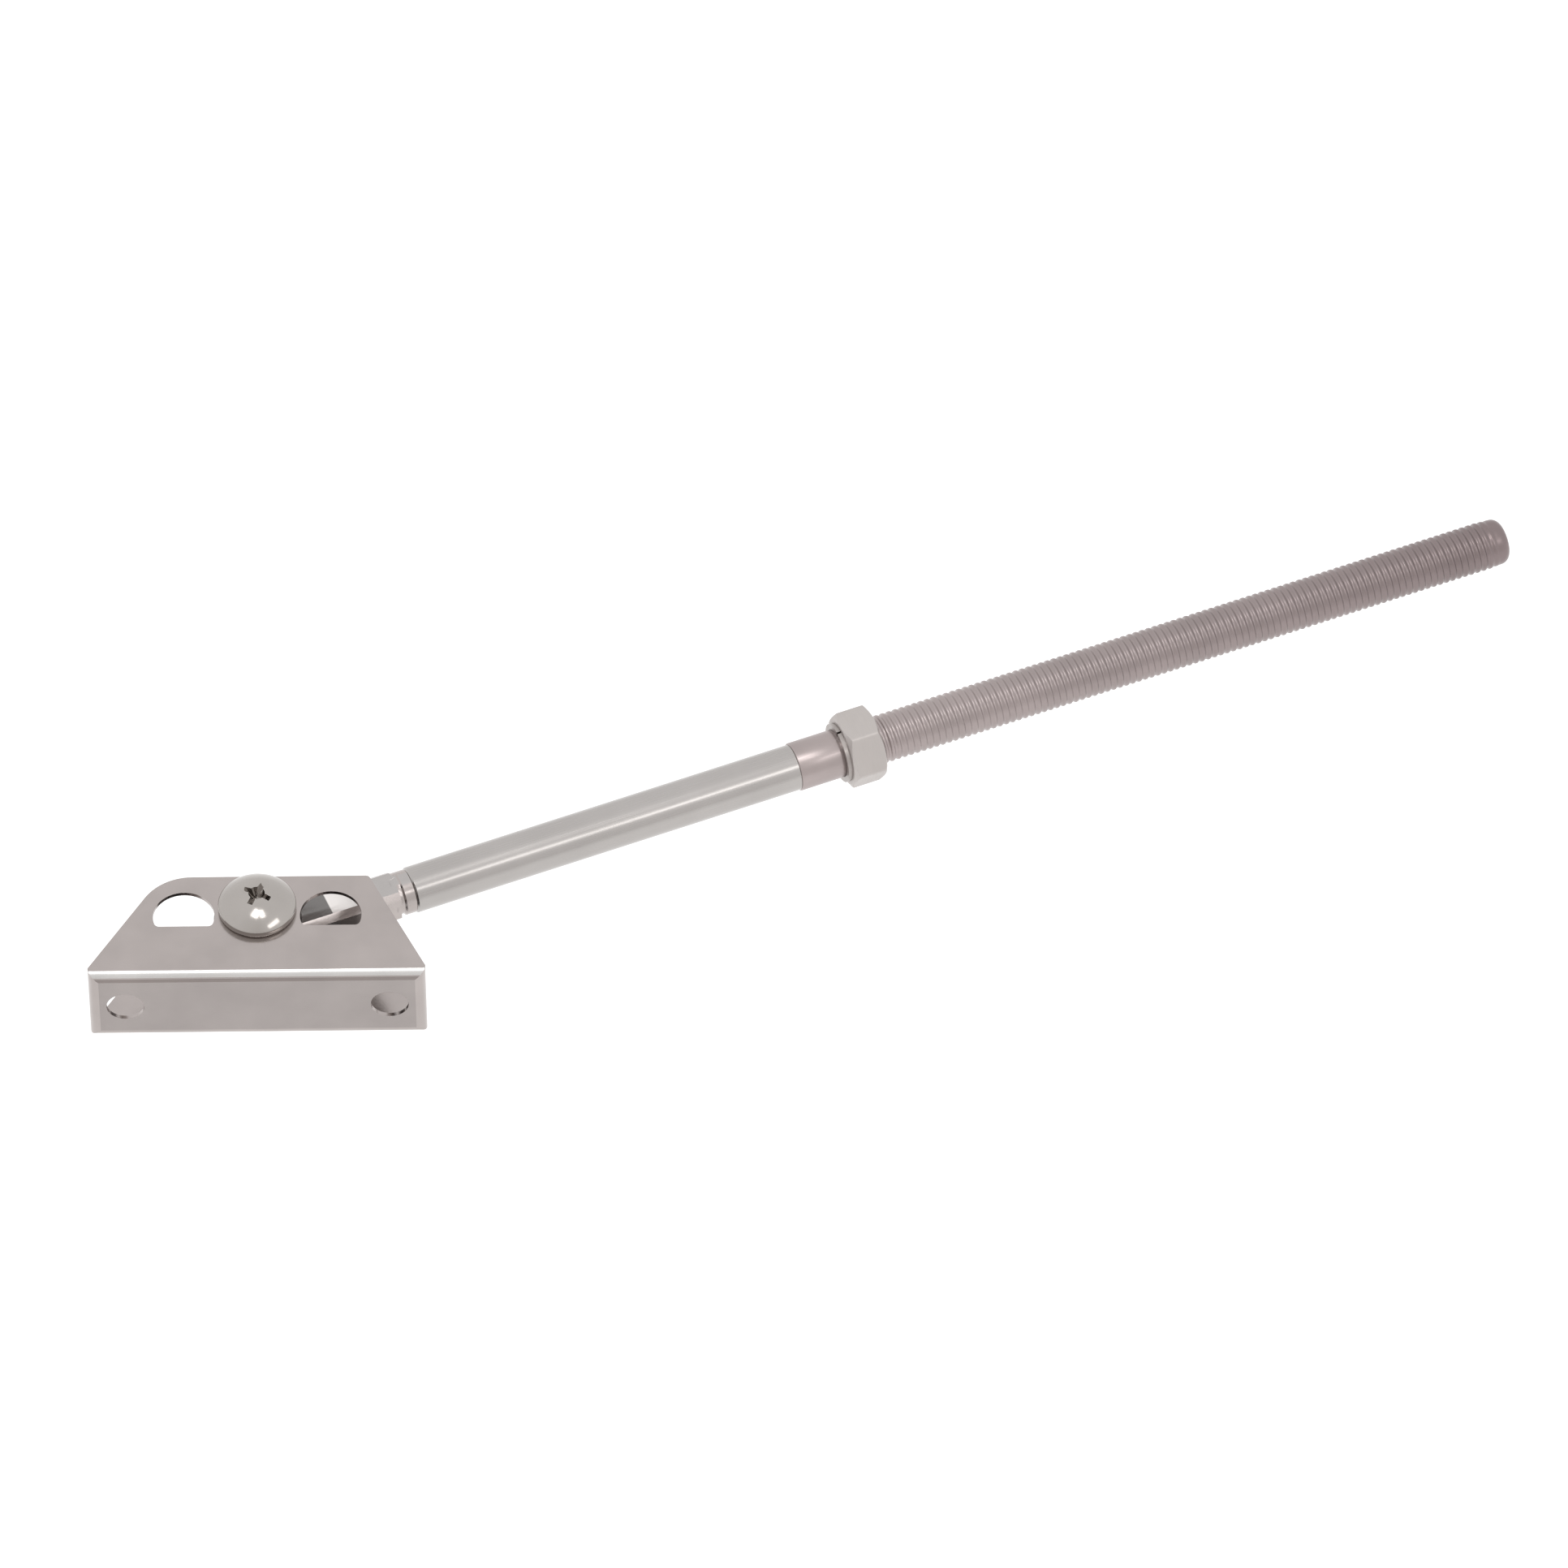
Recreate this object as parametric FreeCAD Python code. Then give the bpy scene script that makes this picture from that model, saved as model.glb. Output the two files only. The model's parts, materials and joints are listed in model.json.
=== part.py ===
import FreeCAD, Part
import math
import os
from FreeCAD import Vector

# Pivoting foot with a threaded adjusting arm, for window and shutter hardware.
# Millimetres. The origin is the centre of the foot's mounting face, which is the plane y = 0.
# +X runs along the foot, +Y points away from the wall into the foot, and +Z is up.

# ---- driving sizes: the folded foot
FOOT_LENGTH = 76.6
FOOT_HEIGHT = 21.6
EAR_DEPTH = 29.2
SHEET = 1.0
BEND_R = 2.4
LEFT_TAPER_DEG = 31.3
RIGHT_TAPER_DEG = 26.0
LEFT_CORNER_R = 12.4
RIGHT_CORNER_R = 1.2
SCREW_SPACING = 60.0
SCREW_HOLE_R = 4.3
PIVOT_Y = 19.7
WINDOW_X = 16.7
WINDOW_Y = 17.6
WINDOW_R = 7.0
WINDOW_CHORD = 3.0
WINDOW_CORNER_R = 1.2

# ---- driving sizes: the pivot
SHOULDER_R = 4.0
HEAD_R = 8.9
HEAD_EDGE = 1.8
HEAD_EDGE_R = 0.7
HEAD_RISE = 3.8
RECESS_SPAN = 7.6
RECESS_FLOOR = 2.4
RECESS_WIDTH = 1.3
RECESS_DEPTH = 3.2
RECESS_BOWL_R = 1.9
RECESS_BOWL_FLOOR_R = 1.0
RECESS_TURN_DEG = -27.0
STUD_R = 3.0
STUD_CHAMFER = 0.5
STUD_STICKS_OUT = 1.6
PIVOT_WASHER_R = 6.2
PIVOT_WASHER_T = 1.2
LOCK_NUT_AF = 10.0
LOCK_NUT_HEX = 4.8
LOCK_NUT_COLLAR_R = 4.5
LOCK_NUT_COLLAR = 1.5
INSERT_R = 4.0
INSERT_T = 1.1
THRUST_R = 9.0
THRUST_T = 1.5
FLANGE_R = 7.5
FLANGE_T = 1.0
BUSH_R = 5.0
BUSH_LENGTH = 5.5
RUNNING_CLEARANCE = 0.04
FIXED_CLEARANCE = 0.1

# ---- driving sizes: the arm, measured along it from the pivot
ARM_ANGLE_DEG = 22.2
EYE_R = 10.0
NECK_HALF_WIDTH = 4.5
NECK_HALF_HEIGHT = 4.5
NECK_CHAMFER = 1.4
NECK_BLEND_R = 5.0
NECK_END = 33.3
GROOVE_R = 4.6
COLLAR_START = 34.2
COLLAR_R = 5.1
TUBE_START = 36.9
TUBE_END = 132.0
TUBE_R = 5.4
TUBE_BORE_R = 3.75
TUBE_CHAMFER = 0.4
SPIGOT_LENGTH = 20.0
SHANK_R = 5.7
THREAD_START = 142.4
ARM_LENGTH = 310.8
TIP_R = 5.4
TIP_ROUNDING = 2.2
TIP_FADE = 6.0

# ---- driving sizes: the thread and what turns on it
PITCH = 1.5875
CREST_R = 5.65
THREAD_DEPTH = 0.85
CREST_FLAT = 0.2
ROOT_FLAT = 0.2
RIDGE_SUNK = 0.05
STRETCH_TURNS = 27
DOUBLINGS = 2
JOIN_TOLERANCE = 0.001
NUT_START = 143.9
NUT_AF = 16.3
NUT_THICKNESS = 8.3
NUT_BORE_R = 5.72
NUT_COUNTERSINK = 0.6
NUT_CHAMFER_DEG = 30.0
NUT_TURN_DEG = 28.0
LOCK_WASHER_T = 1.0
LOCK_WASHER_R = 7.0
LOCK_WASHER_SLIT = 0.6

# ---- worked out from the sizes above
HALF_HEIGHT = FOOT_HEIGHT / 2.0
INNER_HALF = HALF_HEIGHT - SHEET
THRUST_INNER = INNER_HALF - THRUST_T
EYE_HALF = THRUST_INNER - RUNNING_CLEARANCE - FLANGE_T
CORE_R = CREST_R - THREAD_DEPTH
THREAD_END = ARM_LENGTH - TIP_ROUNDING - PITCH / 4.0
STRETCH = PITCH * STRETCH_TURNS
BORE_R = SHOULDER_R + RUNNING_CLEARANCE
PIVOT = Vector(0.0, PIVOT_Y, 0.0)
UP = Vector(0.0, 0.0, 1.0)
ALONG = Vector(1.0, 0.0, 0.0)

os.makedirs("parts", exist_ok=True)


# ---- shared helpers

def save(name, shape):
    """Write one named node."""
    shape.exportStep("parts/" + name + ".step")


def cylinder_up(radius, low, high):
    """A cylinder about the pivot's axis, between two heights."""
    return Part.makeCylinder(radius, high - low, Vector(0.0, PIVOT_Y, low), UP)


def ring_up(inner, outer, low, high):
    """A plain ring about the pivot's axis."""
    return cylinder_up(outer, low, high).cut(cylinder_up(inner, low, high))


def turned(points):
    """A solid of revolution about the X axis, from (along, radius) points."""
    line = [Vector(along, radius, 0.0) for along, radius in points]
    face = Part.Face(Part.makePolygon(line + [line[0]]))
    return face.revolve(Vector(), ALONG, 360.0)


def placed_on_arm(shape):
    """Carry a shape from the X axis to the arm's own line."""
    shape = shape.copy()
    shape.rotate(Vector(), UP, ARM_ANGLE_DEG)
    shape.translate(PIVOT)
    return shape


def hexagon_prism(across_flats, low, high):
    """A hexagonal prism along Z, centred on the origin, with a corner on +X."""
    radius = across_flats / math.sqrt(3.0)
    corners = []
    for i in range(7):
        angle = math.radians(60.0 * i)
        corners.append(Vector(radius * math.cos(angle), radius * math.sin(angle), low))
    return Part.Face(Part.makePolygon(corners)).extrude(UP * (high - low))


def chamfered_hexagon(across_flats, low, high):
    """A hexagonal prism whose corners are turned off by a cone at both ends."""
    corner_r = across_flats / math.sqrt(3.0)
    face_r = 0.95 * across_flats / 2.0
    drop = (corner_r - face_r) * math.tan(math.radians(NUT_CHAMFER_DEG))
    points = [
        Vector(0.0, 0.0, low),
        Vector(face_r, 0.0, low),
        Vector(corner_r, 0.0, low + drop),
        Vector(corner_r, 0.0, high - drop),
        Vector(face_r, 0.0, high),
        Vector(0.0, 0.0, high),
    ]
    turned_blank = Part.Face(Part.makePolygon(points + [points[0]])).revolve(Vector(), UP, 360.0)
    return hexagon_prism(across_flats, low, high).common(turned_blank)


# ---- the folded foot

def ear_plan():
    """The foot's outline seen from above: a trapezoid with its narrow side at the pivot."""
    half = FOOT_LENGTH / 2.0
    left_inset = (EAR_DEPTH - BEND_R) * math.tan(math.radians(LEFT_TAPER_DEG))
    right_inset = (EAR_DEPTH - BEND_R) * math.tan(math.radians(RIGHT_TAPER_DEG))
    corners = [
        Vector(-half, 0.0, 0.0),
        Vector(half, 0.0, 0.0),
        Vector(half, BEND_R, 0.0),
        Vector(half - right_inset, EAR_DEPTH, 0.0),
        Vector(left_inset - half, EAR_DEPTH, 0.0),
        Vector(-half, BEND_R, 0.0),
    ]
    face = Part.Face(Part.makePolygon(corners + [corners[0]]))
    block = face.extrude(UP * FOOT_HEIGHT)
    block.translate(UP * -HALF_HEIGHT)
    for corner, radius in ((corners[3], RIGHT_CORNER_R), (corners[4], LEFT_CORNER_R)):
        edges = [e for e in block.Edges if upright_at(e, corner)]
        block = block.makeFillet(radius, edges)
    return block


def upright_at(edge, corner):
    """Is this edge vertical and over the given corner?"""
    ends = [v.Point for v in edge.Vertexes]
    return all(math.hypot(p.x - corner.x, p.y - corner.y) < 0.01 for p in ends)


def channel():
    """The bent sheet before its ears are trimmed: a U open at the back."""
    half = FOOT_LENGTH / 2.0

    def bar(y_low, y_high, z_half):
        size = Vector(FOOT_LENGTH, y_high - y_low, 2.0 * z_half)
        return Part.makeBox(size.x, size.y, size.z, Vector(-half, y_low, -z_half))

    outer = bar(0.0, EAR_DEPTH, HALF_HEIGHT)
    inner = bar(SHEET, EAR_DEPTH + SHEET, INNER_HALF)
    outer = outer.makeFillet(BEND_R, [e for e in outer.Edges if along_x_at(e, 0.0, HALF_HEIGHT)])
    inner = inner.makeFillet(BEND_R - SHEET, [e for e in inner.Edges if along_x_at(e, SHEET, INNER_HALF)])
    return outer.cut(inner)


def along_x_at(edge, y, z):
    """Does this edge run along X at the given depth, above or below?"""
    ends = [v.Point for v in edge.Vertexes]
    return all(abs(p.y - y) < 0.01 and abs(abs(p.z) - z) < 0.01 for p in ends)


def ear_window(side):
    """A round window with a flat side towards the fold, through both ears."""
    round_part = Part.makeCylinder(WINDOW_R, FOOT_HEIGHT, Vector(0.0, 0.0, -HALF_HEIGHT))
    keep = Part.makeBox(2.0 * WINDOW_R, 2.0 * WINDOW_R, FOOT_HEIGHT,
                        Vector(-WINDOW_R, -WINDOW_CHORD, -HALF_HEIGHT))
    window = round_part.common(keep)
    chord_end = math.sqrt(WINDOW_R ** 2 - WINDOW_CHORD ** 2)
    ends = [Vector(x, -WINDOW_CHORD, 0.0) for x in (-chord_end, chord_end)]
    edges = [e for e in window.Edges if any(upright_at(e, end) for end in ends)]
    window = window.makeFillet(WINDOW_CORNER_R, edges)
    window.translate(Vector(side * WINDOW_X, WINDOW_Y, 0.0))
    return window


def shoe_bracket():
    """The foot: a web with two screw holes and two tapered ears."""
    body = channel().common(ear_plan())
    for side in (-1.0, 1.0):
        screw_hole = Part.makeCylinder(SCREW_HOLE_R, 4.0 * SHEET,
                                       Vector(side * SCREW_SPACING / 2.0, -SHEET, 0.0),
                                       Vector(0.0, 1.0, 0.0))
        body = body.cut(screw_hole)
        body = body.cut(ear_window(side))
    body = body.cut(cylinder_up(SHOULDER_R + FIXED_CLEARANCE, 0.0, FOOT_HEIGHT))
    return body.cut(cylinder_up(STUD_R + FIXED_CLEARANCE, -FOOT_HEIGHT, 0.0))


# ---- the pivot

def cross_recess(top):
    """Two crossed wedges and a bowl between them, as a cross-head driver needs."""
    wings = []
    for turn in (0.0, 90.0):
        half, floor = RECESS_SPAN / 2.0, RECESS_FLOOR / 2.0
        side = [
            Vector(-half, -RECESS_WIDTH / 2.0, top),
            Vector(half, -RECESS_WIDTH / 2.0, top),
            Vector(floor, -RECESS_WIDTH / 2.0, top - RECESS_DEPTH),
            Vector(-floor, -RECESS_WIDTH / 2.0, top - RECESS_DEPTH),
        ]
        wing = Part.Face(Part.makePolygon(side + [side[0]])).extrude(Vector(0.0, RECESS_WIDTH, 0.0))
        wing.rotate(Vector(), UP, RECESS_TURN_DEG + turn)
        wings.append(wing)
    bowl_floor = Vector(0.0, 0.0, top - RECESS_DEPTH)
    bowl = Part.makeCone(RECESS_BOWL_FLOOR_R, RECESS_BOWL_R, RECESS_DEPTH, bowl_floor)
    recess = wings[0].fuse([wings[1], bowl])
    recess.translate(PIVOT)
    return recess


def pivot_screw():
    """Domed cross-head shoulder screw: head, shoulder between the ears, threaded stud below."""
    top = HALF_HEIGHT + HEAD_EDGE
    dome_r = (HEAD_R ** 2 + HEAD_RISE ** 2) / (2.0 * HEAD_RISE)
    dome = Part.makeSphere(dome_r, Vector(0.0, PIVOT_Y, top + HEAD_RISE - dome_r))
    head = dome.common(cylinder_up(HEAD_R, HALF_HEIGHT, top + HEAD_RISE))
    rims = [e for e in head.Edges if is_ring_at(e, top) or is_ring_at(e, HALF_HEIGHT)]
    head = head.makeFillet(HEAD_EDGE_R, rims)
    head = head.cut(cross_recess(top + HEAD_RISE))
    stud_end = -HALF_HEIGHT - PIVOT_WASHER_T - LOCK_NUT_HEX - LOCK_NUT_COLLAR - STUD_STICKS_OUT
    shoulder = cylinder_up(SHOULDER_R, -INNER_HALF, HALF_HEIGHT)
    stud = cylinder_up(STUD_R, stud_end, -INNER_HALF)
    stud = stud.makeChamfer(STUD_CHAMFER, [e for e in stud.Edges if is_ring_at(e, stud_end)])
    return head.fuse(shoulder).fuse(stud)


def is_ring_at(edge, height):
    """Is this edge a full circle at the given height?"""
    return len(edge.Vertexes) == 1 and abs(edge.Vertexes[0].Point.z - height) < 0.01


def lock_nut():
    """The nut below: a hexagon with a turned collar that holds a plastic ring."""
    top = -HALF_HEIGHT - PIVOT_WASHER_T
    hex_low = top - LOCK_NUT_HEX
    low = hex_low - LOCK_NUT_COLLAR
    nut = chamfered_hexagon(LOCK_NUT_AF, hex_low, top)
    nut.translate(PIVOT)
    nut = nut.fuse(cylinder_up(LOCK_NUT_COLLAR_R, low, hex_low))
    nut = nut.cut(cylinder_up(STUD_R, low, top))
    return nut.cut(lock_insert())


def lock_insert():
    """The plastic ring inside the lock nut's collar."""
    hex_low = -HALF_HEIGHT - PIVOT_WASHER_T - LOCK_NUT_HEX
    return ring_up(STUD_R, INSERT_R, hex_low - INSERT_T, hex_low)


def flanged_bush(side):
    """A flanged bearing bush in one end of the eye."""
    sleeve = ring_up(BORE_R, BUSH_R, EYE_HALF - BUSH_LENGTH, EYE_HALF)
    flange = ring_up(BORE_R, FLANGE_R, EYE_HALF, EYE_HALF + FLANGE_T)
    bush = sleeve.fuse(flange)
    if side < 0.0:
        bush = bush.mirror(Vector(), UP)
    return bush


def thrust_washer(side):
    """A hard washer between a bush's flange and an ear."""
    low, high = sorted((side * THRUST_INNER, side * INNER_HALF))
    return ring_up(SHOULDER_R + FIXED_CLEARANCE, THRUST_R, low, high)


# ---- the arm

def neck():
    """The forged bar between the eye and the collar, with its long edges chamfered."""
    y, z, c = NECK_HALF_WIDTH, NECK_HALF_HEIGHT, NECK_CHAMFER
    outline = [
        (y, z - c), (y - c, z), (c - y, z), (-y, z - c),
        (-y, c - z), (c - y, -z), (y - c, -z), (y, c - z),
    ]
    start = EYE_R / 2.0
    points = [Vector(start, py, pz) for py, pz in outline]
    return Part.Face(Part.makePolygon(points + [points[0]])).extrude(ALONG * (NECK_END - start))


def neck_blend():
    """The web of metal that rounds the two inner corners where the neck leaves the eye."""
    reach = EYE_R + NECK_BLEND_R
    centre_y = NECK_HALF_WIDTH + NECK_BLEND_R
    centre_x = math.sqrt(reach ** 2 - centre_y ** 2)
    height = 2.0 * (NECK_HALF_HEIGHT - NECK_CHAMFER)
    low = -height / 2.0
    on_eye = (centre_x * EYE_R / reach, centre_y * EYE_R / reach)
    outline = [
        Vector(0.0, -on_eye[1], low),
        Vector(on_eye[0], -on_eye[1], low),
        Vector(centre_x, -NECK_HALF_WIDTH, low),
        Vector(centre_x, NECK_HALF_WIDTH, low),
        Vector(on_eye[0], on_eye[1], low),
        Vector(0.0, on_eye[1], low),
    ]
    web = Part.Face(Part.makePolygon(outline + [outline[0]])).extrude(UP * height)
    for side in (-1.0, 1.0):
        hollow = Part.makeCylinder(NECK_BLEND_R, height, Vector(centre_x, side * centre_y, low))
        web = web.cut(hollow)
    return web


def rod_end():
    """The forging: eye, neck, collar and the spigot that is pressed into the tube."""
    eye = Part.makeCylinder(EYE_R, 2.0 * EYE_HALF, Vector(0.0, 0.0, -EYE_HALF))
    tail = turned([
        (NECK_END - 1.0, 0.0),
        (NECK_END - 1.0, GROOVE_R),
        (COLLAR_START, GROOVE_R),
        (COLLAR_START + TUBE_CHAMFER, COLLAR_R),
        (TUBE_START, COLLAR_R),
        (TUBE_START, TUBE_BORE_R),
        (TUBE_START + SPIGOT_LENGTH, TUBE_BORE_R),
        (TUBE_START + SPIGOT_LENGTH, 0.0),
    ])
    solid = eye.fuse([neck_blend(), neck(), tail]).removeSplitter()
    solid = solid.cut(Part.makeCylinder(BUSH_R, 4.0 * EYE_HALF, Vector(0.0, 0.0, -2.0 * EYE_HALF)))
    return placed_on_arm(solid)


def arm_tube():
    """The polished tube between the forging and the threaded rod."""
    tube = turned([
        (TUBE_START, TUBE_BORE_R),
        (TUBE_START, TUBE_R - TUBE_CHAMFER),
        (TUBE_START + TUBE_CHAMFER, TUBE_R),
        (TUBE_END, TUBE_R),
        (TUBE_END, TUBE_BORE_R),
    ])
    return placed_on_arm(tube)


def thread_stretch():
    """A whole number of turns of threaded core, cut off square so that stretches join end to end."""
    half_root = (PITCH - ROOT_FLAT) / 2.0
    half_crest = CREST_FLAT / 2.0
    foot_r = CORE_R - RIDGE_SUNK
    corners = [
        Vector(foot_r, 0.0, -half_root),
        Vector(CREST_R, 0.0, -half_crest),
        Vector(CREST_R, 0.0, half_crest),
        Vector(foot_r, 0.0, half_root),
    ]
    profile = Part.makePolygon(corners + [corners[0]])
    helix = Part.Wire(Part.makeHelix(PITCH, PITCH * (STRETCH_TURNS + 2), CORE_R))
    ridge = helix.makePipeShell([profile], True, True)
    ridge.translate(UP * -PITCH)
    core = Part.makeCylinder(CORE_R, PITCH * (STRETCH_TURNS + 4), UP * (-2.0 * PITCH))
    width = 4.0 * CREST_R
    keep = Part.makeBox(width, width, STRETCH, Vector(-width / 2.0, -width / 2.0, 0.0))
    stretch = core.fuse(ridge).common(keep)
    stretch.rotate(Vector(), Vector(0.0, 1.0, 0.0), 90.0)
    return stretch


def full_thread():
    """The threaded length, doubled up from one stretch until it is long enough."""
    thread = thread_stretch()
    length = STRETCH
    for _ in range(DOUBLINGS):
        more = thread.copy()
        more.translate(ALONG * length)
        thread = thread.fuse([more], JOIN_TOLERANCE)
        length *= 2.0
    thread.translate(ALONG * (THREAD_END - length))
    return thread


def tip_trim():
    """The ring of metal that is turned off the last turns, so that they fade out at the tip."""
    fade_from = ARM_LENGTH - TIP_FADE
    outer = 2.0 * CREST_R
    tip = TIP_R + RIDGE_SUNK
    return turned([
        (fade_from, outer),
        (fade_from, CREST_R + RIDGE_SUNK),
        (THREAD_END, tip),
        (ARM_LENGTH, tip),
        (ARM_LENGTH, outer),
    ])


def rod_blank():
    """The rod without its thread: spigot, plain shank, core and rounded tip."""
    points = [
        Vector(TUBE_END - SPIGOT_LENGTH, 0.0, 0.0),
        Vector(TUBE_END - SPIGOT_LENGTH, TUBE_BORE_R, 0.0),
        Vector(TUBE_END, TUBE_BORE_R, 0.0),
        Vector(TUBE_END, SHANK_R, 0.0),
        Vector(THREAD_START, SHANK_R, 0.0),
        Vector(THREAD_START + THREAD_DEPTH, CORE_R, 0.0),
        Vector(ARM_LENGTH - TIP_FADE, CORE_R, 0.0),
        Vector(ARM_LENGTH - TIP_ROUNDING, TIP_R, 0.0),
    ]
    edges = [Part.makeLine(a, b) for a, b in zip(points, points[1:])]
    turn = math.radians(45.0)
    centre_r = TIP_R - TIP_ROUNDING
    middle = Vector(ARM_LENGTH - TIP_ROUNDING + TIP_ROUNDING * math.sin(turn),
                    centre_r + TIP_ROUNDING * math.cos(turn), 0.0)
    face_edge = Vector(ARM_LENGTH, centre_r, 0.0)
    end = Vector(ARM_LENGTH, 0.0, 0.0)
    edges.append(Part.Arc(points[-1], middle, face_edge).toShape())
    edges.append(Part.makeLine(face_edge, end))
    edges.append(Part.makeLine(end, points[0]))
    return Part.Face(Part.Wire(edges)).revolve(Vector(), ALONG, 360.0)


def threaded_rod():
    """The adjusting rod. Its first turns are buried in the plain shank."""
    return placed_on_arm(full_thread().fuse(rod_blank()).cut(tip_trim()))


# ---- what turns and slides on the rod

def jam_nut():
    """The hexagon nut on the rod."""
    nut = chamfered_hexagon(NUT_AF, 0.0, NUT_THICKNESS)
    bore = Part.makeCylinder(NUT_BORE_R, NUT_THICKNESS)
    nut = nut.cut(bore)
    for near, far in ((0.0, NUT_COUNTERSINK), (NUT_THICKNESS, NUT_THICKNESS - NUT_COUNTERSINK)):
        low, high = sorted((near, far))
        wide, narrow = NUT_BORE_R + NUT_COUNTERSINK, NUT_BORE_R
        radii = (wide, narrow) if near < far else (narrow, wide)
        nut = nut.cut(Part.makeCone(radii[0], radii[1], high - low, Vector(0.0, 0.0, low)))
    nut.rotate(Vector(), UP, NUT_TURN_DEG)
    nut.rotate(Vector(), Vector(0.0, 1.0, 0.0), 90.0)
    nut.translate(ALONG * NUT_START)
    return placed_on_arm(nut)


def lock_washer():
    """A thin split washer behind the nut, which slides along without turning."""
    start = NUT_START - LOCK_WASHER_T
    washer = turned([
        (start, NUT_BORE_R),
        (start, LOCK_WASHER_R),
        (NUT_START, LOCK_WASHER_R),
        (NUT_START, NUT_BORE_R),
    ])
    slit = Part.makeBox(2.0 * LOCK_WASHER_T, LOCK_WASHER_SLIT, LOCK_WASHER_R,
                        Vector(start - LOCK_WASHER_T / 2.0, -LOCK_WASHER_SLIT / 2.0, 0.0))
    return placed_on_arm(washer.cut(slit))


save("shoe_bracket", shoe_bracket())
save("pivot_screw", pivot_screw())
washer_low = -HALF_HEIGHT - PIVOT_WASHER_T
save("pivot_washer", ring_up(STUD_R + FIXED_CLEARANCE, PIVOT_WASHER_R, washer_low, -HALF_HEIGHT))
save("lock_nut", lock_nut())
save("lock_nut_insert", lock_insert())
save("thrust_washer_upper", thrust_washer(1.0))
save("thrust_washer_lower", thrust_washer(-1.0))
save("bush_upper", flanged_bush(1.0))
save("bush_lower", flanged_bush(-1.0))
save("rod_end", rod_end())
save("arm_tube", arm_tube())
save("threaded_rod", threaded_rod())
save("lock_washer", lock_washer())
save("jam_nut", jam_nut())
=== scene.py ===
import bmesh
import bpy
import json
import math
from mathutils import Matrix, Vector


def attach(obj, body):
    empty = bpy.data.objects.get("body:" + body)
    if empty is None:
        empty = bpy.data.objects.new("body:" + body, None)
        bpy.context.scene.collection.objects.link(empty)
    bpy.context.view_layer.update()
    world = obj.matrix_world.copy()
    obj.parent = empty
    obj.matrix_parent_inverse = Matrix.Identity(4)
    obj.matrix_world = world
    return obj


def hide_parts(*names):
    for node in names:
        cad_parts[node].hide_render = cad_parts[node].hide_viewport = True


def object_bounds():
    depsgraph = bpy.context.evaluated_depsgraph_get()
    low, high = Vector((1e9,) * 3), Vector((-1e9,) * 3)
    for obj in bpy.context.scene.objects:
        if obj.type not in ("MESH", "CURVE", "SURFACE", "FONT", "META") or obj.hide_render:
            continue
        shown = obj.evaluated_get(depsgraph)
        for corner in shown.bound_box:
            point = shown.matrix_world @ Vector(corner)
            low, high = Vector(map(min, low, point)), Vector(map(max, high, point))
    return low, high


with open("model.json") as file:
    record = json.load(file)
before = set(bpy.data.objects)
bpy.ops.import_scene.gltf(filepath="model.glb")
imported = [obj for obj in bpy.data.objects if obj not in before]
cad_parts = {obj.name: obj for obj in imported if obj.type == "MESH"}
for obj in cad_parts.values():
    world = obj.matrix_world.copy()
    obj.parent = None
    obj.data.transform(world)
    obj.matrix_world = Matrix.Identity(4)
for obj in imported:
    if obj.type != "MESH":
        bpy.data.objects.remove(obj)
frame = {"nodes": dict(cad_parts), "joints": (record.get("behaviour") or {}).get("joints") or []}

cad_low, cad_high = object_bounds()

# The looks of a folded foot with a pivoting, threaded arm. Metres, in the CAD model's frame:
# the wall is the plane y = 0, +Z is up along the pivot, and the arm leaves the pivot towards +X.

MM = 0.001

# ---- places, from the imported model
JOINTS = {joint["name"]: joint for joint in frame["joints"]}
PIVOT = Vector(JOINTS["arm_pivot"]["pos_m"])
ARM_AXIS = Vector(JOINTS["nut_spin"]["axis"])
ARM_TURN = math.atan2(ARM_AXIS.y, ARM_AXIS.x)
TO_ARM = Matrix.Translation(PIVOT) @ Matrix.Rotation(ARM_TURN, 4, "Z")

# ---- sizes of the arm, measured along it from the pivot
NECK_END = 33.3 * MM
COLLAR_START = 34.2 * MM
TUBE_START = 36.9 * MM
TUBE_END = 132.0 * MM
TUBE_R = 5.4 * MM
BORE_R = 3.75 * MM
TUBE_CHAMFER = 0.5 * MM
SPIGOT = 20.0 * MM
SHANK_R = 5.7 * MM
THREAD_START = 142.4 * MM
ARM_LENGTH = 310.8 * MM
TIP_R = 5.4 * MM
TIP_ROUNDING = 2.2 * MM
PITCH = 1.5875 * MM
CREST_R = 5.65 * MM
THREAD_DEPTH = 0.32 * MM
ROD_SEGMENTS = 72
STEPS_PER_TURN = 12
TIP_STEPS = 8
THREAD_RUN_IN = 1.5 * PITCH
THREAD_RUN_OUT = 2.0 * PITCH
THREAD_STOP = 0.2 * MM
SHANK_GAP = 0.3 * MM
SHOULDER = 0.25 * MM
SHOULDER_HALF = 0.08 * MM
ROOT_SHARE = 0.14
FLANK_SHARE = 0.72
NUT_START = 143.9 * MM
NUT_THICKNESS = 8.3 * MM
NUT_AF = 16.3 * MM
NUT_BORE_R = 5.72 * MM
SEAT_GAP = 0.02 * MM
NUT_TURN = math.radians(28.0)
NUT_CHAMFER = math.tan(math.radians(30.0))
CORNER_SHARPNESS = 60.0
NUT_SEGMENTS = 180
NUT_FACE_SHARE = 0.95
NUT_SINK = 0.5 * MM
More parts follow.
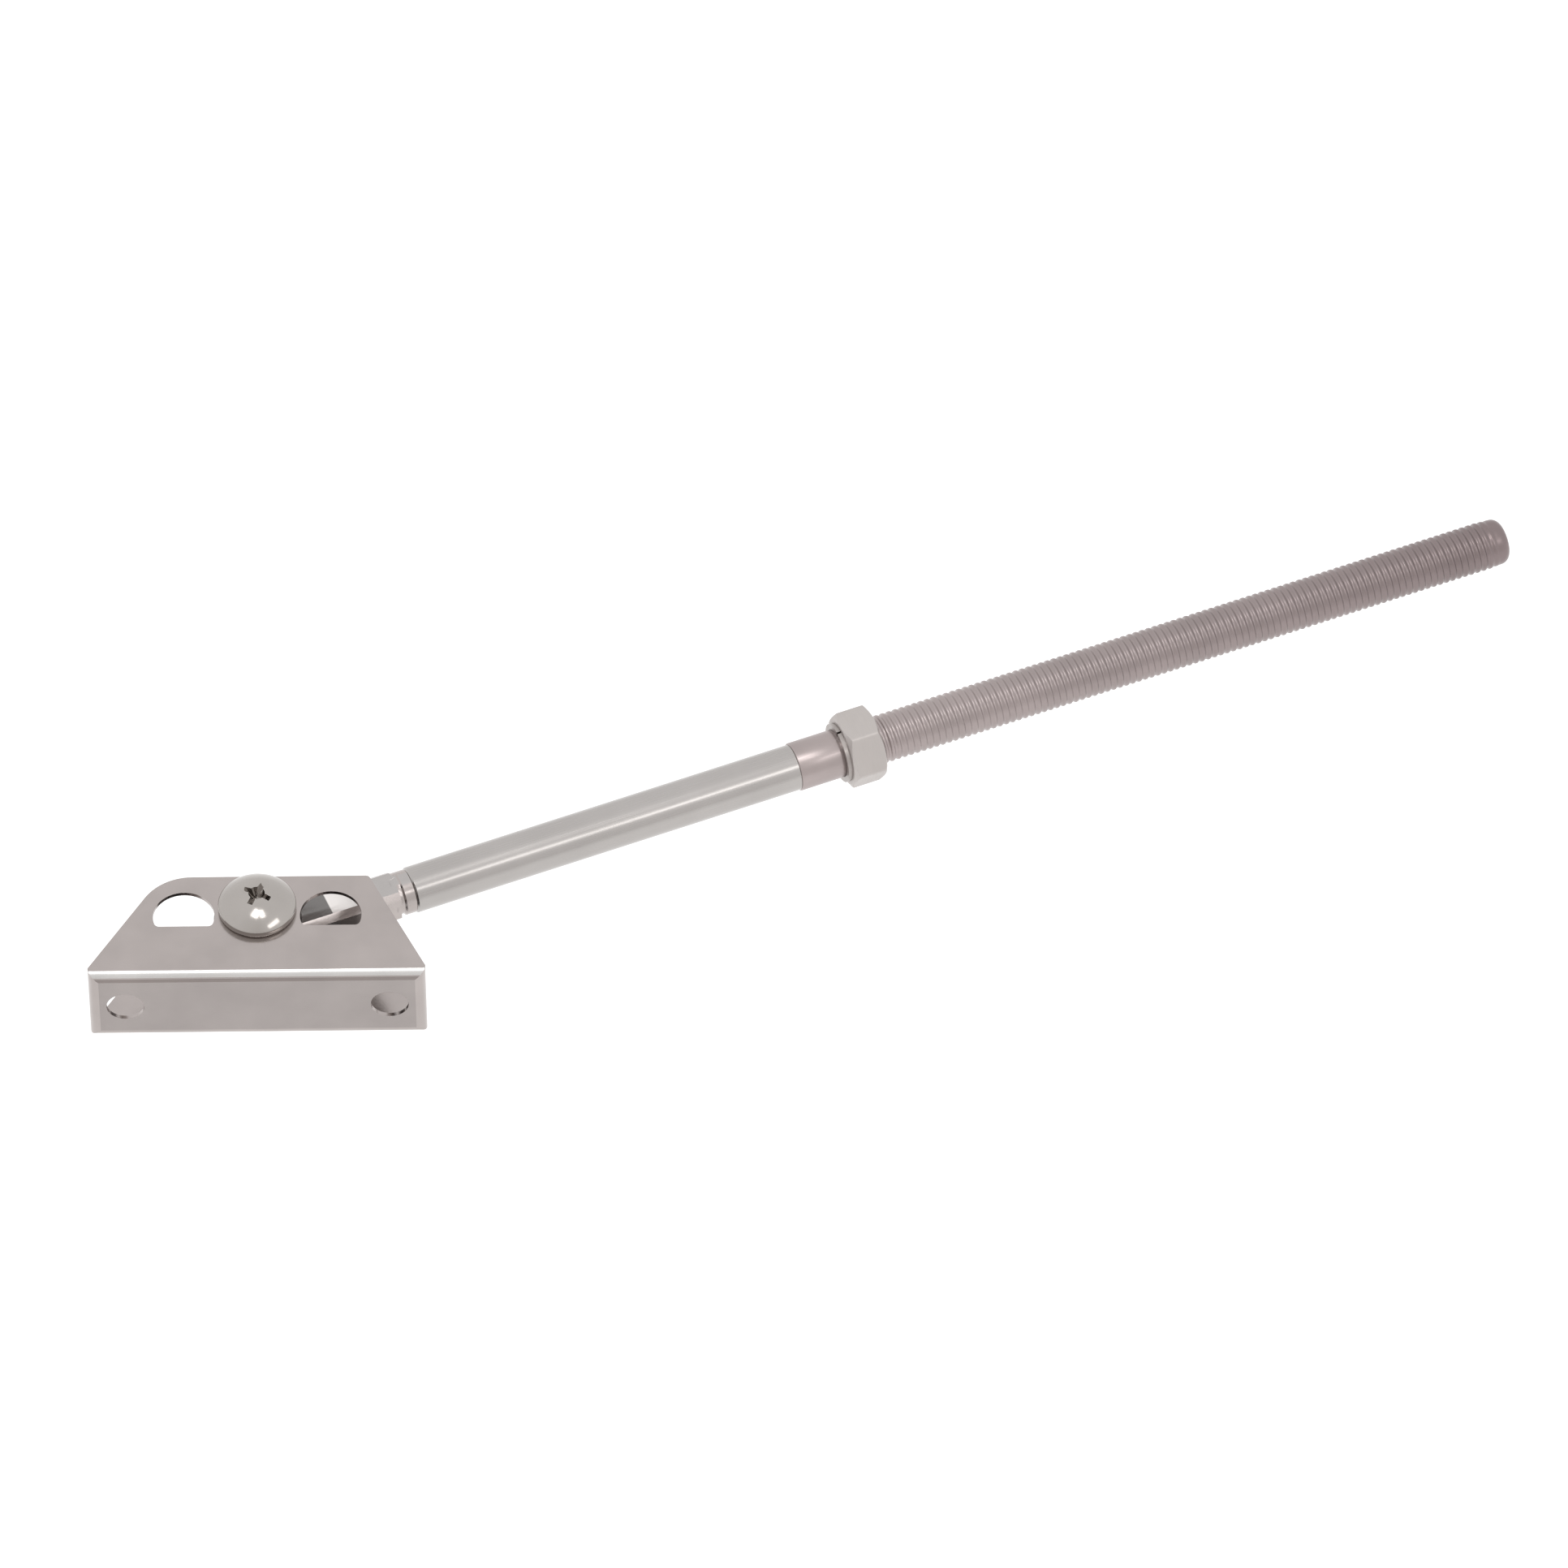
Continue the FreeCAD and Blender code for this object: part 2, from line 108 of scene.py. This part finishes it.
# Painted light on the neck: where its painted shade gives way to a painted highlight, and the zones of
# painted light and shade on its up- and down-facing faces and on its sides, each a distance from the pivot
# and a brightness factor.
PAINTED_LIGHT_EDGE = 17.0 * MM
ZONE_MARGIN = 1.0 * MM
FLAT_PAINTED_LIGHT_ZONES = (
    (PAINTED_LIGHT_EDGE, 0.45),
    (PAINTED_LIGHT_EDGE + 0.2 * MM, 1.9),
    (PAINTED_LIGHT_EDGE + 4.0 * MM, 1.7),
    (27.0 * MM, 1.0),
)
# Painted shade on the neck's sides, darkest near the eye.
SIDE_PAINTED_SHADE_ZONES = ((22.0 * MM, 0.24), (27.0 * MM, 0.9), (31.0 * MM, 1.0))
GROOVE_FILL = 0.5 * MM
GROOVE_MARGIN = 0.1 * MM
GROOVE_REACH = 4.7 * MM
FILLED_Y, FILLED_Z = 0.78, 0.62

# ---- edges, and the directions that faces are sorted by
SMOOTH_BELOW = math.radians(28.0)
ROUND_ABOVE = math.radians(30.0)
WELD_WITHIN = 0.002 * MM
FLAT_WITHIN = math.radians(1.0)
TUBE_EDGE = 0.08 * MM
NUT_EDGE = 0.18 * MM
FOOT_EDGE = 0.14 * MM
SCREW_EDGE = 0.10 * MM
FORGED_EDGE = 0.2 * MM
# Faces in the fold band get a painted highlight, faces in the crease band painted shade, and faces square
# to the wall painted shade too; on the neck, faces that point up or down and faces that point sideways
# carry painted light and shade.
FOLD_HIGHLIGHT_DEGREES = (20.0, 58.0)
CREASE_SHADE_DEGREES = (64.0, 89.0)
SQUARE_TO_WALL = 0.999
ALONG_FOOT = 0.1
TOP_FACING = 0.95
SIDE_FACING = 0.3

# ---- the camera and its light
CAMERA_ELEVATION = 49.4
CAMERA_ROLL = -0.6
CAMERA_DISTANCE = 3.717
LENS_PER_SENSOR = 10.352
LOOK_AT = Vector((0.120, 0.050, 0.0))
AIM_RIGHT = 0.12 * MM
AIM_UP = -11.03 * MM
SENSOR_WIDTH = 36.0
FLOOR_DROP = 0.2
FLOOR_HALF = 6.0
FLOOR_GLOW = 0.06
LAMP_DISTANCE = 1.5
SKY_BY_HEIGHT = 0.55
SKY_LEAST = 0.25
SKY_BY_DEPTH = 0.45
SKY_BY_SIDE = 0.8
SKY_STRENGTH = 1.12


# ---- shared helpers

def new_object(name, vertices, faces, to_frame=None):
    """A mesh object from lists, carried to the row's frame."""
    mesh = bpy.data.meshes.new(name)
    mesh.from_pydata([tuple(v) for v in vertices], [], faces)
    if to_frame is not None:
        mesh.transform(to_frame)
    mesh.update()
    obj = bpy.data.objects.new(name, mesh)
    bpy.context.scene.collection.objects.link(obj)
    return obj


def face_outwards(obj):
    """Make the faces point outwards."""
    work = bmesh.new()
    work.from_mesh(obj.data)
    bmesh.ops.recalc_face_normals(work, faces=work.faces)
    work.to_mesh(obj.data)
    work.free()


def finish_piece(obj, body, slot, material, *nodes):
    """Give a piece its finish, its body and the CAD nodes that it stands for."""
    face_outwards(obj)
    obj.data.materials.clear()
    obj.data.materials.append(material)
    obj.data.shade_smooth()
    obj.data.set_sharp_from_angle(angle=SMOOTH_BELOW)
    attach(obj, body)
    if nodes:
        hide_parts(*nodes)
    return obj


def round_edges(obj, width, segments=2):
    """Break the sharp edges, as tumbling does."""
    bevel = obj.modifiers.new("edges", "BEVEL")
    bevel.width = width
    bevel.segments = segments
    bevel.limit_method = "ANGLE"
    bevel.angle_limit = ROUND_ABOVE
    bevel.harden_normals = True
    return obj


def ring_faces(rings, segments, closed):
    """Quads between neighbouring rings of vertices; closed also joins the last to the first."""
    faces = []
    pairs = [(i, i + 1) for i in range(rings - 1)]
    if closed:
        pairs.append((rings - 1, 0))
    for a, b in pairs:
        for j in range(segments):
            k = (j + 1) % segments
            faces.append((a * segments + j, a * segments + k, b * segments + k, b * segments + j))
    return faces


def lathe(name, profile, segments=96, closed=False):
    """Turn (along, radius) points about the arm's axis. An open profile is capped at both ends."""
    vertices = []
    for along, radius in profile:
        for j in range(segments):
            angle = 2.0 * math.pi * j / segments
            vertices.append((along, radius * math.cos(angle), radius * math.sin(angle)))
    faces = ring_faces(len(profile), segments, closed)
    if not closed:
        faces.append(tuple(range(segments)))
        last = (len(profile) - 1) * segments
        faces.append(tuple(range(last, last + segments)))
    return new_object(name, vertices, faces, TO_ARM)


def softened_copy(node, name, width, segments):
    """A CAD node's shape, welded and with its flat faces whole, so that its edges can be broken."""
    work = bmesh.new()
    work.from_mesh(frame["nodes"][node].data)
    bmesh.ops.remove_doubles(work, verts=work.verts, dist=WELD_WITHIN)
    bmesh.ops.dissolve_limit(work, angle_limit=FLAT_WITHIN, verts=work.verts, edges=work.edges)
    mesh = bpy.data.meshes.new(name)
    work.to_mesh(mesh)
    work.free()
    obj = bpy.data.objects.new(name, mesh)
    bpy.context.scene.collection.objects.link(obj)
    return round_edges(obj, width, segments)


# ---- finishes: how finely the grain repeats along each axis, per metre
EVEN_GRAIN = (1500.0, 1500.0, 1500.0)
ROLLED_GRAIN = (60.0, 4000.0, 4000.0)
HARD_GRAIN = (1800.0, 1800.0, 1800.0)
FORGED_GRAIN = (700.0, 900.0, 900.0)

def metal(name, colour, roughness, grain, grain_bump, mottle=0.05, turn=0.0, metallic=1.0, far_colour=None,
          zones=None):
    """Worked metal: a drawn or brushed grain, soft colour patches and a little unevenness.

    With a far colour, the metal darkens along the arm towards its tip. With zones, its brightness
    changes along the arm as painted light and shade: each zone is a distance from the pivot and a factor.
    """
    material = bpy.data.materials.new(name)
    material.use_nodes = True
    nodes = material.node_tree.nodes
    links = material.node_tree.links
    shader = nodes["Principled BSDF"]
    shader.inputs["Metallic"].default_value = metallic
    place = nodes.new("ShaderNodeTexCoord")
    along = nodes.new("ShaderNodeMapping")
    along.vector_type = "POINT"
    along.inputs["Rotation"].default_value = (0.0, 0.0, -turn)
    links.new(place.outputs["Object"], along.inputs["Vector"])
    stretch = nodes.new("ShaderNodeMapping")
    stretch.inputs["Scale"].default_value = grain
    links.new(along.outputs["Vector"], stretch.inputs["Vector"])
    scratches = nodes.new("ShaderNodeTexNoise")
    scratches.inputs["Scale"].default_value = 1.0
    scratches.inputs["Detail"].default_value = 4.0
    scratches.inputs["Roughness"].default_value = 0.6
    links.new(stretch.outputs["Vector"], scratches.inputs["Vector"])
    patches = nodes.new("ShaderNodeTexNoise")
    patches.inputs["Scale"].default_value = 90.0
    patches.inputs["Detail"].default_value = 3.0
    links.new(along.outputs["Vector"], patches.inputs["Vector"])
    tone = nodes.new("ShaderNodeValToRGB")
    low = [c * (1.0 - mottle) for c in colour]
    high = [min(c * (1.0 + mottle), 1.0) for c in colour]
    tone.color_ramp.elements[0].position = 0.3
    tone.color_ramp.elements[0].color = (*low, 1.0)
    tone.color_ramp.elements[1].position = 0.7
    tone.color_ramp.elements[1].color = (*high, 1.0)
    links.new(patches.outputs["Fac"], tone.inputs["Fac"])
    if zones is not None:
        links.new(zoned(nodes, links, along, tone, zones), shader.inputs["Base Color"])
    elif far_colour is None:
        links.new(tone.outputs["Color"], shader.inputs["Base Color"])
    else:
        darkened = darkened_to_tip(nodes, links, along, tone, colour, far_colour)
        links.new(darkened, shader.inputs["Base Color"])
    rough = nodes.new("ShaderNodeMapRange")
    rough.inputs["From Min"].default_value = 0.3
    rough.inputs["From Max"].default_value = 0.7
    rough.inputs["To Min"].default_value = roughness * 0.85
    rough.inputs["To Max"].default_value = roughness * 1.15
    links.new(scratches.outputs["Fac"], rough.inputs["Value"])
    links.new(rough.outputs["Result"], shader.inputs["Roughness"])
    bump = nodes.new("ShaderNodeBump")
    bump.inputs["Strength"].default_value = grain_bump
    bump.inputs["Distance"].default_value = 0.02 * MM
    links.new(scratches.outputs["Fac"], bump.inputs["Height"])
    links.new(bump.outputs["Normal"], shader.inputs["Normal"])
    return material


def zoned(nodes, links, along, tone, zones):
    """Painted light and shade: brightness that changes along the arm, from zone to zone."""
    split = nodes.new("ShaderNodeSeparateXYZ")
    links.new(along.outputs["Vector"], split.inputs["Vector"])
    start = PIVOT.dot(ARM_AXIS)
    low = zones[0][0] - ZONE_MARGIN
    high = zones[-1][0] + ZONE_MARGIN
    share = nodes.new("ShaderNodeMapRange")
    share.inputs["From Min"].default_value = start + low
    share.inputs["From Max"].default_value = start + high
    links.new(split.outputs["X"], share.inputs["Value"])
    steps = nodes.new("ShaderNodeValToRGB")
    ramp = steps.color_ramp
    while len(ramp.elements) < len(zones):
        ramp.elements.new(1.0)
    for element, (distance, factor) in zip(ramp.elements, zones):
        element.position = (distance - low) / (high - low)
        element.color = (factor, factor, factor, 1.0)
    links.new(share.outputs["Result"], steps.inputs["Fac"])
    product = nodes.new("ShaderNodeMix")
    product.data_type = "RGBA"
    product.blend_type = "MULTIPLY"
    product.inputs["Factor"].default_value = 1.0
    links.new(tone.outputs["Color"], product.inputs["A"])
    links.new(steps.outputs["Color"], product.inputs["B"])
    return product.outputs["Result"]


def darkened_to_tip(nodes, links, along, tone, colour, far_colour):
    """The tone times a ramp that falls off from the nut to the arm's tip."""
    split = nodes.new("ShaderNodeSeparateXYZ")
    links.new(along.outputs["Vector"], split.inputs["Vector"])
    share = nodes.new("ShaderNodeMapRange")
    start = PIVOT.dot(ARM_AXIS)
    share.inputs["From Min"].default_value = start + NUT_START
    share.inputs["From Max"].default_value = start + ARM_LENGTH
    links.new(split.outputs["X"], share.inputs["Value"])
    fade = nodes.new("ShaderNodeMix")
    fade.data_type = "RGBA"
    fade.blend_type = "MULTIPLY"
    ratio = [far / near for far, near in zip(far_colour, colour)]
    fade.inputs["B"].default_value = (*ratio, 1.0)
    links.new(share.outputs["Result"], fade.inputs["Factor"])
    links.new(tone.outputs["Color"], fade.inputs["A"])
    return fade.outputs["Result"]


def plain_plastic(name, colour, roughness):
    """Moulded plastic with a faint texture."""
    return metal(name, colour, roughness, EVEN_GRAIN, 0.2, metallic=0.0)


STEEL_FOOT = metal("foot_satin_steel", (0.40, 0.362, 0.349), 0.20, ROLLED_GRAIN, 0.15)
# Lighter and darker copies of the foot's steel: a painted highlight along the front fold, painted shade
# under it and on the web.
STEEL_FOLD_PAINTED_HIGHLIGHT = metal("fold_painted_highlight_steel", (0.60, 0.59, 0.58), 0.26, ROLLED_GRAIN, 0.1)
STEEL_CREASE_PAINTED_SHADE = metal("fold_painted_shade_steel", (0.235, 0.205, 0.195), 0.3, ROLLED_GRAIN, 0.15)
STEEL_WEB_PAINTED_SHADE = metal("web_satin_steel_painted_shade", (0.325, 0.295, 0.285), 0.24, ROLLED_GRAIN, 0.15)
STEEL_SCREW = metal("screw_polished_steel", (0.385, 0.36, 0.34), 0.15, (900.0, 900.0, 900.0), 0.05)
STEEL_PLATED = metal("plated_steel", (0.52, 0.51, 0.49), 0.28, EVEN_GRAIN, 0.2)
STEEL_HARD = metal("hardened_dark_steel", (0.20, 0.18, 0.17), 0.38, HARD_GRAIN, 0.2)
STEEL_WASHER = metal("washer_steel", (0.36, 0.33, 0.315), 0.36, HARD_GRAIN, 0.2)
BRONZE = metal("machined_bronze", (0.50, 0.33, 0.18), 0.32, (2500.0, 2500.0, 300.0), 0.25)
NYLON = plain_plastic("nylon", (0.80, 0.78, 0.70), 0.5)
STEEL_FORGED = metal("forged_steel", (0.42, 0.38, 0.365), 0.24, FORGED_GRAIN, 0.35, 0.08, ARM_TURN)
# Lit and shaded copies of the forged steel, for the neck's painted shade and painted highlight.
STEEL_FLAT_PAINTED_LIGHT = metal("forged_flat_painted_light", (0.42, 0.40, 0.39), 0.24, FORGED_GRAIN, 0.2, 0.04, ARM_TURN,
                   zones=FLAT_PAINTED_LIGHT_ZONES)
STEEL_SIDE_PAINTED_SHADE = metal("forged_side_painted_shade", (0.42, 0.38, 0.365), 0.3, FORGED_GRAIN, 0.35, 0.08, ARM_TURN,
                   zones=SIDE_PAINTED_SHADE_ZONES)
STEEL_TUBE = metal("tube_polished_steel", (0.41, 0.39, 0.377), 0.25, (40.0, 5000.0, 5000.0), 0.12, 0.03,
                   ARM_TURN)
STEEL_ROD = metal("rod_satin_steel", (0.375, 0.325, 0.318), 0.34, (60.0, 3500.0, 3500.0), 0.2, 0.06,
                  ARM_TURN, far_colour=(0.225, 0.182, 0.181))
STEEL_NUT = metal("nut_satin_steel", (0.47, 0.437, 0.42), 0.45, (2600.0, 300.0, 300.0), 0.3, 0.04, ARM_TURN,
                  metallic=0.8)

CAD_FINISHES = {
    "shoe_bracket": STEEL_FOOT,
    "pivot_screw": STEEL_SCREW,
    "pivot_washer": STEEL_PLATED,
    "lock_nut": STEEL_PLATED,
    "lock_nut_insert": NYLON,
    "thrust_washer_upper": STEEL_HARD,
    "thrust_washer_lower": STEEL_HARD,
    "bush_upper": BRONZE,
    "bush_lower": BRONZE,
    "rod_end": STEEL_FORGED,
    "arm_tube": STEEL_TUBE,
    "threaded_rod": STEEL_ROD,
    "lock_washer": STEEL_WASHER,
    "jam_nut": STEEL_NUT,
}
for node, finish in CAD_FINISHES.items():
    for material_slot in frame["nodes"][node].material_slots:
        material_slot.material = finish


# ---- the arm's round pieces

def tube():
    """The polished tube, a closed ring of section."""
    profile = [
        (TUBE_START, BORE_R),
        (TUBE_START, TUBE_R - TUBE_CHAMFER),
        (TUBE_START + TUBE_CHAMFER, TUBE_R),
        (TUBE_END, TUBE_R),
        (TUBE_END, BORE_R),
    ]
    obj = lathe("tube", profile, closed=True)
    round_edges(obj, TUBE_EDGE, 2)
    return finish_piece(obj, "arm", "tube_steel", STEEL_TUBE, "arm_tube")


def thread_height(turns):
    """How far up the thread's flank a point is, from 0 at the root to 1 at the crest."""
    phase = abs((turns % 1.0) * 2.0 - 1.0)
    ramp = min(max((phase - ROOT_SHARE) / FLANK_SHARE, 0.0), 1.0)
    return ramp * ramp * (3.0 - 2.0 * ramp)


def rod():
    """Spigot, shank, rolled thread and rounded tip in one skin."""
    segments = ROD_SEGMENTS
    rings = [
        (TUBE_END - SPIGOT, BORE_R, 0.0),
        (TUBE_END, BORE_R, 0.0),
        (TUBE_END, SHANK_R - SHOULDER, 0.0),
        (TUBE_END + SHOULDER_HALF, SHANK_R - SHOULDER_HALF, 0.0),
        (TUBE_END + SHOULDER, SHANK_R, 0.0),
        (THREAD_START - SHANK_GAP, SHANK_R, 0.0),
    ]
    thread_end = ARM_LENGTH - TIP_ROUNDING - THREAD_STOP
    step = PITCH / STEPS_PER_TURN
    count = int((thread_end - THREAD_START) / step)
    for i in range(count + 1):
        along = THREAD_START + i * step
        strength = min((along - THREAD_START) / THREAD_RUN_IN, 1.0)
        to_tip = (thread_end - along) / THREAD_RUN_OUT
        strength *= min(max(to_tip, 0.0), 1.0)
        radius = TIP_R + (CREST_R - TIP_R) * min(max(to_tip, 0.0), 1.0)
        rings.append((along, radius, strength))
    for i in range(TIP_STEPS + 1):
        angle = math.radians(90.0 * i / TIP_STEPS)
        rings.append((
            ARM_LENGTH - TIP_ROUNDING + TIP_ROUNDING * math.sin(angle),
            TIP_R - TIP_ROUNDING + TIP_ROUNDING * math.cos(angle),
            0.0,
        ))
    vertices = []
    for along, radius, strength in rings:
        for j in range(segments):
            share = j / segments
            angle = 2.0 * math.pi * share
            cut = strength * THREAD_DEPTH * (1.0 - thread_height(along / PITCH - share))
            r = radius - cut
            vertices.append((along, r * math.cos(angle), r * math.sin(angle)))
    faces = ring_faces(len(rings), segments, False)
    faces.append(tuple(range(segments)))
    last = (len(rings) - 1) * segments
    faces.append(tuple(range(last, last + segments)))
    obj = new_object("rod", vertices, faces, TO_ARM)
    return finish_piece(obj, "arm", "rod_steel", STEEL_ROD, "threaded_rod")


def hexagon_radius(angle):
    """How far a hexagon with slightly rounded corners reaches at an angle."""
    total = 0.0
    for i in range(6):
        reach = math.cos(angle - math.radians(60.0 * i + 30.0))
        total += max(reach, 0.0) ** CORNER_SHARPNESS
    return (NUT_AF / 2.0) / total ** (1.0 / CORNER_SHARPNESS)


def nut():
    """The hexagon nut. It stands a hair off the washer, so that their faces never coincide."""
    segments = NUT_SEGMENTS
    face_r = NUT_FACE_SHARE * NUT_AF / 2.0
    sink = NUT_SINK
    start, end = NUT_START + SEAT_GAP, NUT_START + NUT_THICKNESS
    rings = [[] for _ in range(8)]
    for j in range(segments):
        angle = 2.0 * math.pi * j / segments
        corner_from = angle - NUT_TURN + math.radians(90.0)
        reach = hexagon_radius(corner_from)
        drop = (reach - face_r) * NUT_CHAMFER
        outline = [
            (start + sink, NUT_BORE_R),
            (start, NUT_BORE_R + sink),
            (start, face_r),
            (start + drop, reach),
            (end - drop, reach),
            (end, face_r),
            (end, NUT_BORE_R + sink),
            (end - sink, NUT_BORE_R),
        ]
        for ring, (along, radius) in zip(rings, outline):
            ring.append((along, radius * math.cos(angle), radius * math.sin(angle)))
    vertices = [v for ring in rings for v in ring]
    obj = new_object("nut", vertices, ring_faces(len(rings), segments, True), TO_ARM)
    round_edges(obj, NUT_EDGE, 2)
    return finish_piece(obj, "nut", "nut_steel", STEEL_NUT, "jam_nut")


def foot():
    """The folded foot: a painted highlight along its front folds, painted shade just under them and on its
    web.
    """
    obj = softened_copy("shoe_bracket", "foot_shell", FOOT_EDGE, 2)
    piece = finish_piece(obj, "foot", "foot_steel", STEEL_FOOT, "shoe_bracket")
    # Copies of the foot's steel for painted light: a painted highlight on the fold, painted shade under it
    # and on the web.
    for material in (STEEL_FOLD_PAINTED_HIGHLIGHT, STEEL_CREASE_PAINTED_SHADE, STEEL_WEB_PAINTED_SHADE):
        obj.data.materials.append(material)
    for polygon in obj.data.polygons:
        around = math.degrees(math.atan2(-polygon.normal.y, polygon.normal.z))
        # The web's faces get painted shade, the fold's band a painted highlight and the band under it
        # painted shade.
        if abs(polygon.normal.y) > SQUARE_TO_WALL:
            polygon.material_index = 3
        elif abs(polygon.normal.x) < ALONG_FOOT:
            if FOLD_HIGHLIGHT_DEGREES[0] < around < FOLD_HIGHLIGHT_DEGREES[1]:
                polygon.material_index = 1
            elif CREASE_SHADE_DEGREES[0] < around < CREASE_SHADE_DEGREES[1]:
                polygon.material_index = 2
    return piece


def screw():
    """The domed screw; its recess has worn edges."""
    obj = softened_copy("pivot_screw", "dome_screw", SCREW_EDGE, 2)
    return finish_piece(obj, "foot", "screw_steel", STEEL_SCREW, "pivot_screw")


def forging():
    """Eye, neck and collar. The groove before the collar is shallower on its upper, back side."""
    obj = softened_copy("rod_end", "eye_and_neck", FORGED_EDGE, 3)
    from_arm = TO_ARM.inverted()
    for vertex in obj.data.vertices:
        place = from_arm @ vertex.co
        in_groove = NECK_END - GROOVE_MARGIN < place.x < COLLAR_START + GROOVE_MARGIN
        radius = math.hypot(place.y, place.z)
        if in_groove and radius < GROOVE_REACH:
            upward = max((FILLED_Y * place.y + FILLED_Z * place.z) / radius, 0.0)
            wider = (radius + GROOVE_FILL * upward) / radius
            vertex.co = TO_ARM @ Vector((place.x, place.y * wider, place.z * wider))
    piece = finish_piece(obj, "arm", "forged_steel", STEEL_FORGED, "rod_end")
    # Faces that point up or down get painted shade, then a painted highlight along the neck; faces that
    # point sideways get painted shade near the eye.
    obj.data.materials.append(STEEL_FLAT_PAINTED_LIGHT)
    obj.data.materials.append(STEEL_SIDE_PAINTED_SHADE)
    turn_back = from_arm.to_3x3()
    for polygon in obj.data.polygons:
        facing = turn_back @ polygon.normal
        if abs(facing.z) > TOP_FACING:
            polygon.material_index = 1
        elif abs(facing.z) < SIDE_FACING:
            polygon.material_index = 2
    return piece


foot()
screw()
forging()
tube()
rod()
nut()


# ---- the stage

def stage():
    """A large pale floor, so far below that no shadow shows."""
    floor_z = cad_low.z - FLOOR_DROP
    size = FLOOR_HALF
    corners = [(x * size, y * size, floor_z) for x, y in ((-1, -1), (1, -1), (1, 1), (-1, 1))]
    floor = new_object("floor", corners, [(0, 1, 2, 3)])
    paint = bpy.data.materials.new("floor_white")
    paint.use_nodes = True
    shader = paint.node_tree.nodes["Principled BSDF"]
    shader.inputs["Base Color"].default_value = (0.97, 0.97, 0.97, 1.0)
    shader.inputs["Roughness"].default_value = 0.9
    shader.inputs["Specular IOR Level"].default_value = 0.0
    shader.inputs["Emission Color"].default_value = (1.0, 1.0, 1.0, 1.0)
    shader.inputs["Emission Strength"].default_value = FLOOR_GLOW
    floor.data.materials.append(paint)


def softbox(name, direction, distance, width, height, radiance):
    """A flat lamp that faces the object, as bright all over as the radiance says."""
    lamp = bpy.data.lights.new(name, "AREA")
    lamp.shape = "RECTANGLE"
    lamp.size = width
    lamp.size_y = height
    lamp.energy = radiance * math.pi * width * height
    obj = bpy.data.objects.new(name, lamp)
    towards = Vector(direction).normalized()
    obj.location = LOOK_AT + towards * distance
    obj.rotation_euler = towards.to_track_quat("Z", "Y").to_euler()
    bpy.context.scene.collection.objects.link(obj)


def surround():
    """A pale room: brightest overhead, at the back and at the sides, darkest low at the front."""
    world = bpy.data.worlds.new("studio")
    bpy.context.scene.world = world
    world.use_nodes = True
    nodes = world.node_tree.nodes
    links = world.node_tree.links
    background = nodes["Background"]
    place = nodes.new("ShaderNodeTexCoord")
    split = nodes.new("ShaderNodeSeparateXYZ")
    ramp = nodes.new("ShaderNodeValToRGB")
    ramp.color_ramp.elements[0].position = 0.0
    ramp.color_ramp.elements[0].color = (0.82, 0.80, 0.79, 1.0)
    ramp.color_ramp.elements[1].position = 1.0
    ramp.color_ramp.elements[1].color = (1.0, 1.0, 1.0, 1.0)
    height = nodes.new("ShaderNodeMath")
    height.operation = "MULTIPLY_ADD"
    height.inputs[1].default_value = SKY_BY_HEIGHT
    height.inputs[2].default_value = SKY_LEAST
    depth = nodes.new("ShaderNodeMath")
    depth.operation = "MULTIPLY_ADD"
    depth.inputs[1].default_value = SKY_BY_DEPTH
    aside = nodes.new("ShaderNodeMath")
    aside.operation = "ABSOLUTE"
    width = nodes.new("ShaderNodeMath")
    width.operation = "MULTIPLY_ADD"
    width.inputs[1].default_value = SKY_BY_SIDE
    links.new(place.outputs["Generated"], split.inputs["Vector"])
    links.new(split.outputs["Z"], height.inputs[0])
    links.new(split.outputs["Y"], depth.inputs[0])
    links.new(height.outputs["Value"], depth.inputs[2])
    links.new(split.outputs["X"], aside.inputs[0])
    links.new(aside.outputs["Value"], width.inputs[0])
    links.new(depth.outputs["Value"], width.inputs[2])
    links.new(width.outputs["Value"], ramp.inputs["Fac"])
    links.new(ramp.outputs["Color"], background.inputs["Color"])
    background.inputs["Strength"].default_value = SKY_STRENGTH


def camera():
    """A long lens, so far off that the rod keeps its width to the end."""
    elevation = math.radians(CAMERA_ELEVATION)
    roll = math.radians(CAMERA_ROLL)
    forward = Vector((0.0, math.cos(elevation), -math.sin(elevation)))
    level_right = Vector((1.0, 0.0, 0.0))
    level_up = level_right.cross(forward)
    right = level_right * math.cos(roll) + level_up * math.sin(roll)
    up = level_up * math.cos(roll) - level_right * math.sin(roll)
    data = bpy.data.cameras.new("camera")
    data.sensor_width = SENSOR_WIDTH
    data.lens = data.sensor_width * LENS_PER_SENSOR
    data.clip_end = 50.0
    obj = bpy.data.objects.new("camera", data)
    place = LOOK_AT - AIM_RIGHT * right - AIM_UP * up - CAMERA_DISTANCE * forward
    obj.matrix_world = Matrix((
        (right.x, up.x, -forward.x, place.x),
        (right.y, up.y, -forward.y, place.y),
        (right.z, up.z, -forward.z, place.z),
        (0.0, 0.0, 0.0, 1.0),
    ))
    bpy.context.scene.collection.objects.link(obj)
    bpy.context.scene.camera = obj


stage()
softbox("key_right", (0.52, -0.47, 0.74), LAMP_DISTANCE, 0.75, 0.24, 2.2)
softbox("key_left", (-0.13, -0.20, 0.97), LAMP_DISTANCE, 0.36, 0.46, 4.0)
softbox("key_middle", (0.08, -0.21, 0.97), LAMP_DISTANCE, 0.26, 0.42, 3.4)
surround()
camera()
bpy.context.scene.view_settings.view_transform = "Standard"
